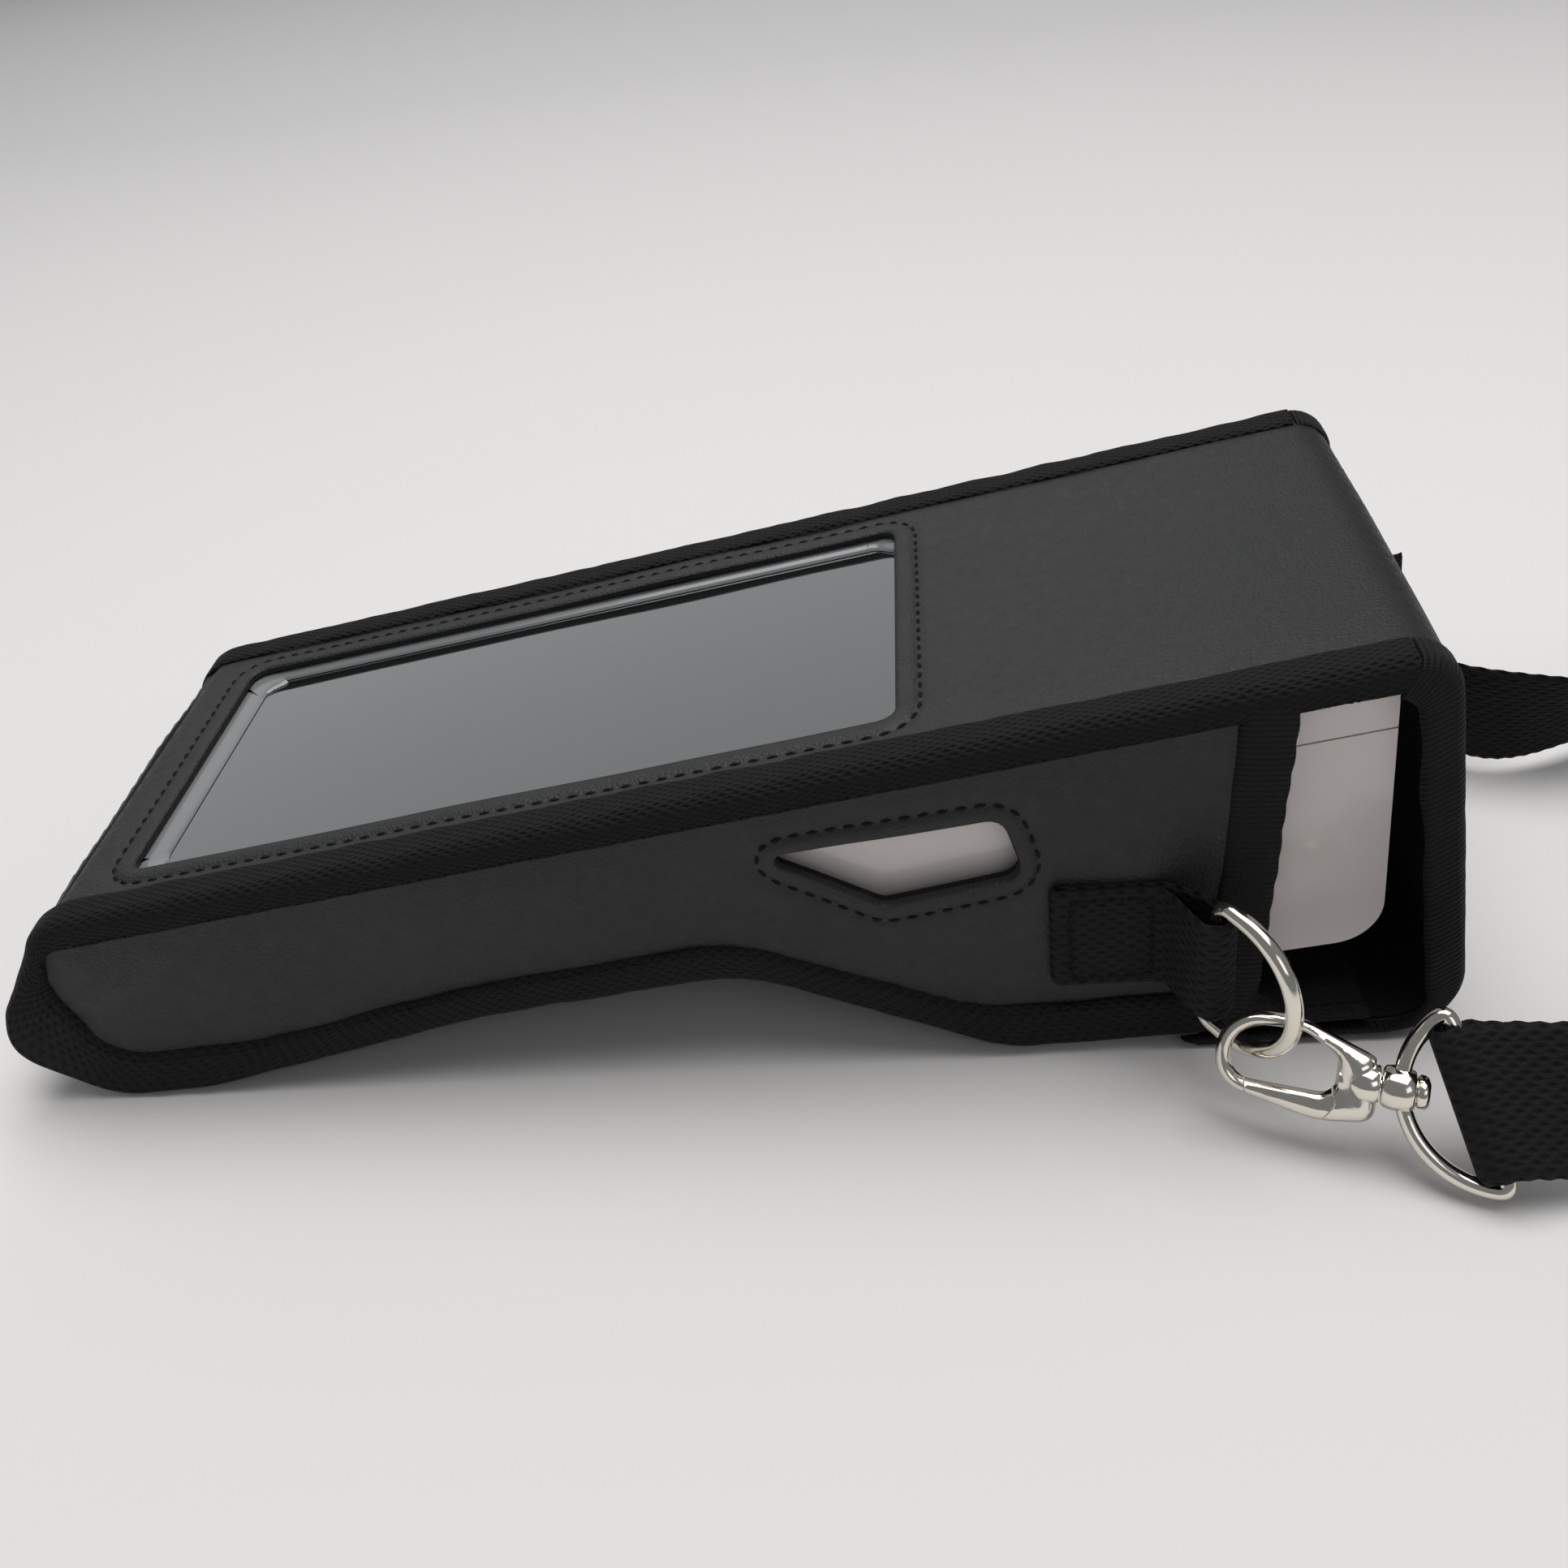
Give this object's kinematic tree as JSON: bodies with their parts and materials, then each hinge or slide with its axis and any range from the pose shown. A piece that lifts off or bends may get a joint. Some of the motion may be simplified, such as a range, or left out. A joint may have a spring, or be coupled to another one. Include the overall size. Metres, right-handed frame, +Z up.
{
  "type": "terminal carry case",
  "caption": "Soft carry case with a screen window, side cut-outs, a hinged end flap and a shoulder strap clipped to side D-rings, around a handheld terminal.",
  "frame": {"origin": "middle of the case footprint, on the surface it lies on, without the strap", "axes": "+X along the case towards the flap end, +Y towards the far side, +Z up"},
  "size_m": [0.4272, 0.1686, 0.0717],
  "materials": {
    "leather": "satin fine grain",
    "lining": "brushed",
    "binding": "woven tape",
    "webbing": "coarse weave",
    "pad": "hook and loop",
    "nickel": "polished",
    "shell": "gloss",
    "seal": "matt",
    "glass": "gloss",
    "display": "dark"
  },
  "bodies": {
    "case": {"front_panel": "leather", "front_lining": "lining", "end_panel": "leather", "end_lining": "lining", "back_panel": "leather", "back_lining": "lining", "side_panel_near": "leather", "side_panel_far": "leather", "side_lining_near": "lining", "side_lining_far": "lining", "edge_binding_near": "binding", "edge_binding_far": "binding", "mouth_binding_near": "binding", "mouth_binding_far": "binding", "back_edge_binding": "binding", "loop_pad": "pad", "ring_tab_near": "webbing", "ring_tab_far": "webbing", "strap_end_near": "webbing", "strap_end_far": "webbing", "strap_near_run": "webbing", "strap_far_run": "webbing", "strap_hank": "webbing", "hank_tie": "binding"},
    "flap": {"flap_leather": "leather", "flap_lining": "lining", "flap_binding_near": "binding", "flap_binding_far": "binding", "flap_tip_binding": "binding", "hook_pad": "pad"},
    "terminal": {"terminal_front_housing": "shell", "terminal_rear_housing": "shell", "terminal_seal": "seal", "terminal_glass": "glass", "terminal_display": "display", "terminal_roll_cover": "shell"},
    "ring_near": {"d_ring_near": "nickel"},
    "bail_near": {"strap_bail_near": "nickel", "swivel_post_near": "nickel"},
    "hook_near": {"hook_body_near": "nickel", "gate_pin_near": "nickel"},
    "gate_near": {"hook_gate_near": "nickel"},
    "ring_far": {"d_ring_far": "nickel"},
    "bail_far": {"strap_bail_far": "nickel", "swivel_post_far": "nickel"},
    "hook_far": {"hook_body_far": "nickel", "gate_pin_far": "nickel"},
    "gate_far": {"hook_gate_far": "nickel"}
  },
  "joints": [
    {"name": "flap_hinge", "type": "hinge", "parent": "case", "child": "flap", "pos_m": [0.10801, 0, 0.07232], "axis": [0, -1, 0], "range_deg": [0, 150]},
    {"name": "terminal_slide", "type": "slide", "parent": "case", "child": "terminal", "axis": [0.9887, 0, 0.1501], "range_m": [0, 0.003]},
    {"name": "ring_near_swing", "type": "hinge", "parent": "case", "child": "ring_near", "pos_m": [0.0795, -0.0549, 0.026], "axis": [0.0733, -0.0995, 0.9923], "range_deg": [-8, 0]},
    {"name": "bail_near_swing", "type": "hinge", "parent": "case", "child": "bail_near", "pos_m": [0.11455, -0.0747, 0.01393], "axis": [-0.251, 0.572, 0.7809], "range_deg": [0, 2]},
    {"name": "hook_near_swivel", "type": "hinge", "parent": "bail_near", "child": "hook_near", "pos_m": [0.1042, -0.071, 0.0136], "axis": [0.9494, -0.314, 0], "range_deg": [-4, 2]},
    {"name": "gate_near_open", "type": "hinge", "parent": "hook_near", "child": "gate_near", "pos_m": [0.09452, -0.06969, 0.00958], "axis": [0.2866, 0.8667, -0.4083], "range_deg": [0, 15], "stiffness_Nm_per_rad": 0.004, "springref_deg": -20.05},
    {"name": "ring_far_swing", "type": "hinge", "parent": "case", "child": "ring_far", "pos_m": [0.0795, 0.0549, 0.026], "axis": [-0.0733, -0.0995, -0.9923], "range_deg": [-8, 0]},
    {"name": "bail_far_swing", "type": "hinge", "parent": "case", "child": "bail_far", "pos_m": [0.11455, 0.0747, 0.01393], "axis": [0.251, 0.572, -0.7809], "range_deg": [0, 2]},
    {"name": "hook_far_swivel", "type": "hinge", "parent": "bail_far", "child": "hook_far", "pos_m": [0.1042, 0.071, 0.0136], "axis": [-0.9494, -0.314, 0], "range_deg": [-4, 2]},
    {"name": "gate_far_open", "type": "hinge", "parent": "hook_far", "child": "gate_far", "pos_m": [0.09452, 0.06969, 0.00958], "axis": [-0.2866, 0.8667, 0.4083], "range_deg": [0, 15], "stiffness_Nm_per_rad": 0.004, "springref_deg": -20.05}
  ]
}
